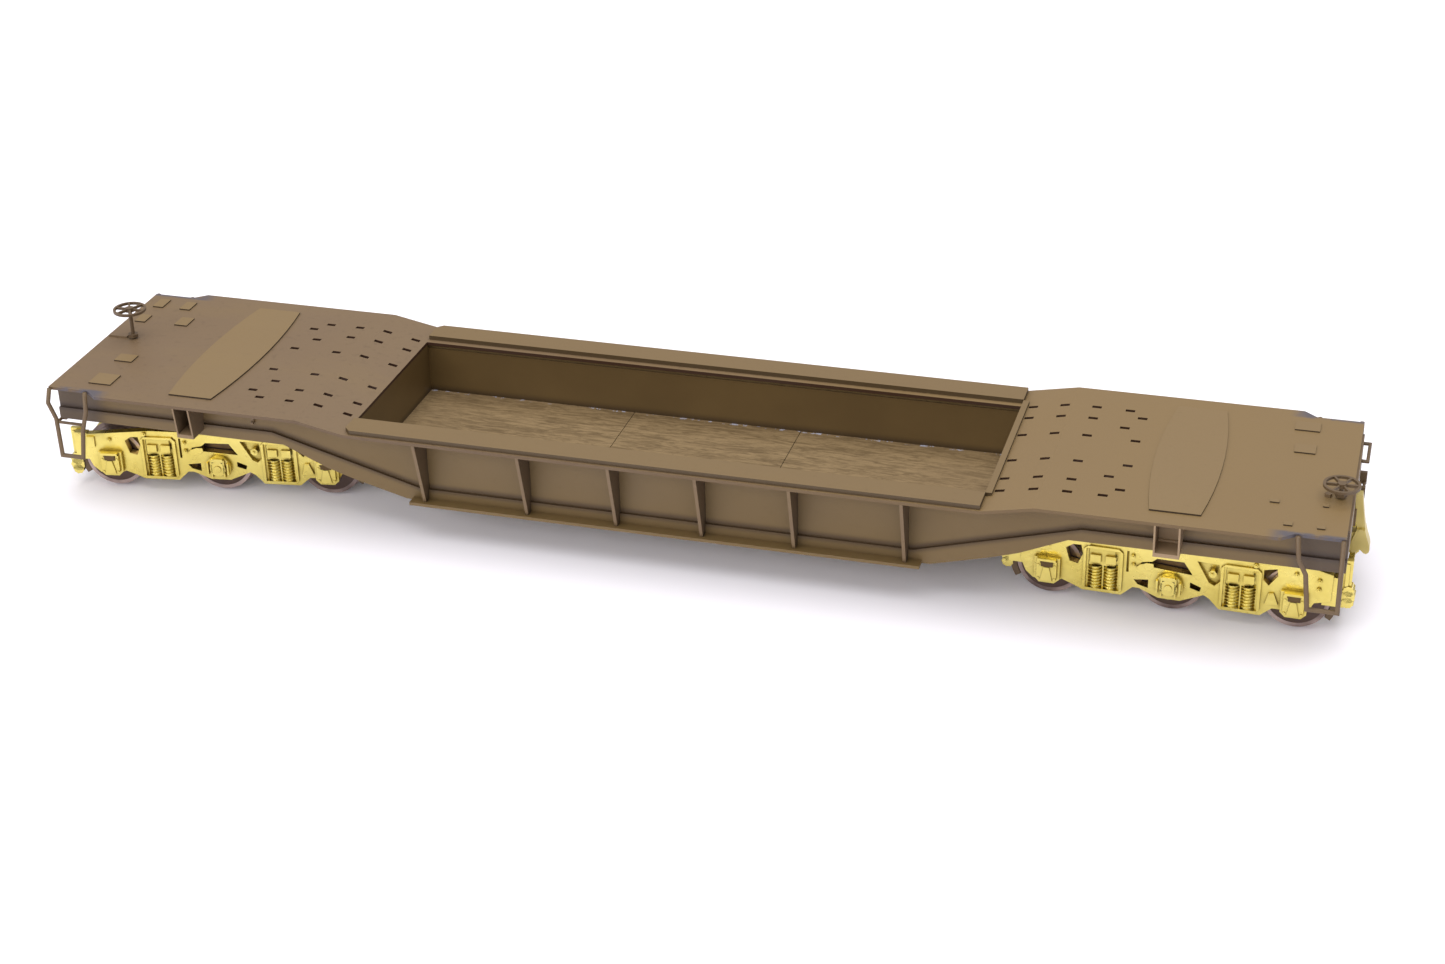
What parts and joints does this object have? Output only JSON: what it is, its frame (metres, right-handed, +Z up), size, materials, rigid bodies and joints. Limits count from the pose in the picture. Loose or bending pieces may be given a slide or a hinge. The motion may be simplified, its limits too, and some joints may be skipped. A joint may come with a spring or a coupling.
{
  "type": "model flat car",
  "caption": "Model railway flat car with a dropped well floor between raised end decks, fish-belly side girders, swivelling cast trucks, rolling wheelsets, couplers and hand brakes.",
  "frame": {"origin": "midway along the car on its centre line, at the bottom of the wheel flanges", "axes": "+X along the car from end A to end B, +Y across it, +Z up"},
  "size_m": [0.204, 0.039, 0.0251],
  "materials": {
    "body_paint": "flat tan paint",
    "truck_brass": "polished cast brass",
    "wheel_metal": "turned wheel metal",
    "floor_wood": "painted scribed boards",
    "coupler_brass": "dull brass",
    "dark_steel": "dark paint"
  },
  "bodies": {
    "car_body": {"body_bolsters": "body_paint", "bolster_gussets": "body_paint", "brake_ratchets": "body_paint", "center_sills": "body_paint", "coupler_boxes": "body_paint", "cover_plates": "body_paint", "cross_bearers": "body_paint", "deck_end_a": "body_paint", "deck_end_b": "body_paint", "deck_patches": "body_paint", "deck_strip_far": "body_paint", "deck_strip_near": "body_paint", "draft_sills": "body_paint", "end_grab_iron": "body_paint", "end_sills": "body_paint", "girder_angle_far": "body_paint", "girder_angle_near": "body_paint", "girder_web_far": "body_paint", "girder_web_near": "body_paint", "kingpins": "dark_steel", "overlay_plates": "body_paint", "ribs_far": "body_paint", "ribs_near": "body_paint", "step_irons": "body_paint", "uncoupling_lever_a": "body_paint", "uncoupling_lever_b": "body_paint", "well_end_bar": "body_paint", "well_end_walls": "body_paint", "well_floor": "floor_wood", "well_linings": "body_paint"},
    "truck_a": {"side_frame_near_a": "truck_brass", "side_frame_far_a": "truck_brass", "truck_bolster_a": "truck_brass", "truck_springs_a": "truck_brass", "brake_rigging_a": "truck_brass"},
    "wheelset_a1_body": {"wheelset_a1": "wheel_metal"},
    "wheelset_a2_body": {"wheelset_a2": "wheel_metal"},
    "wheelset_a3_body": {"wheelset_a3": "wheel_metal"},
    "truck_b": {"side_frame_near_b": "truck_brass", "side_frame_far_b": "truck_brass", "truck_bolster_b": "truck_brass", "truck_springs_b": "truck_brass", "brake_rigging_b": "truck_brass"},
    "wheelset_b1_body": {"wheelset_b1": "wheel_metal"},
    "wheelset_b2_body": {"wheelset_b2": "wheel_metal"},
    "wheelset_b3_body": {"wheelset_b3": "wheel_metal"},
    "coupler_a_body": {"coupler_a": "coupler_brass"},
    "hand_brake_a_body": {"hand_brake_a": "body_paint"},
    "coupler_b_body": {"coupler_b": "coupler_brass"},
    "hand_brake_b_body": {"hand_brake_b": "body_paint"}
  },
  "joints": [
    {"name": "truck_a_swivel", "type": "hinge", "parent": "car_body", "child": "truck_a", "pos_m": [-0.0759, 0, 0.0112], "axis": [0, 0, 1], "range_deg": [-18.8, 1.2]},
    {"name": "wheelset_a1_spin", "type": "hinge", "parent": "truck_a", "child": "wheelset_a1_body", "pos_m": [-0.09319, -0.00268, 0.0053], "axis": [-0.153, 0.9882, 0], "continuous": true},
    {"name": "wheelset_a2_spin", "type": "hinge", "parent": "truck_a", "child": "wheelset_a2_body", "pos_m": [-0.0759, 0, 0.0053], "axis": [-0.153, 0.9882, 0], "continuous": true},
    {"name": "wheelset_a3_spin", "type": "hinge", "parent": "truck_a", "child": "wheelset_a3_body", "pos_m": [-0.05861, 0.00268, 0.0053], "axis": [-0.153, 0.9882, 0], "continuous": true},
    {"name": "truck_b_swivel", "type": "hinge", "parent": "car_body", "child": "truck_b", "pos_m": [0.0746, 0, 0.0112], "axis": [0, 0, 1], "range_deg": [-7.9, 12.1]},
    {"name": "wheelset_b1_spin", "type": "hinge", "parent": "truck_b", "child": "wheelset_b1_body", "pos_m": [0.05711, 0.00064, 0.0053], "axis": [0.0366, 0.9993, 0], "continuous": true},
    {"name": "wheelset_b2_spin", "type": "hinge", "parent": "truck_b", "child": "wheelset_b2_body", "pos_m": [0.0746, 0, 0.0053], "axis": [0.0366, 0.9993, 0], "continuous": true},
    {"name": "wheelset_b3_spin", "type": "hinge", "parent": "truck_b", "child": "wheelset_b3_body", "pos_m": [0.09209, -0.00064, 0.0053], "axis": [0.0366, 0.9993, 0], "continuous": true},
    {"name": "coupler_a_swing", "type": "hinge", "parent": "car_body", "child": "coupler_a_body", "pos_m": [-0.0914, 0, 0.01065], "axis": [0, 0, 1], "range_deg": [-8, 8]},
    {"name": "hand_brake_a_turn", "type": "hinge", "parent": "car_body", "child": "hand_brake_a_body", "pos_m": [-0.09346, 0.0013, 0.01978], "axis": [0, 0, 1], "continuous": true},
    {"name": "coupler_b_swing", "type": "hinge", "parent": "car_body", "child": "coupler_b_body", "pos_m": [0.0914, 0, 0.01065], "axis": [0, 0, 1], "range_deg": [-8, 8]},
    {"name": "hand_brake_b_turn", "type": "hinge", "parent": "car_body", "child": "hand_brake_b_body", "pos_m": [0.09635, -0.00618, 0.01978], "axis": [0, 0, 1], "continuous": true}
  ]
}
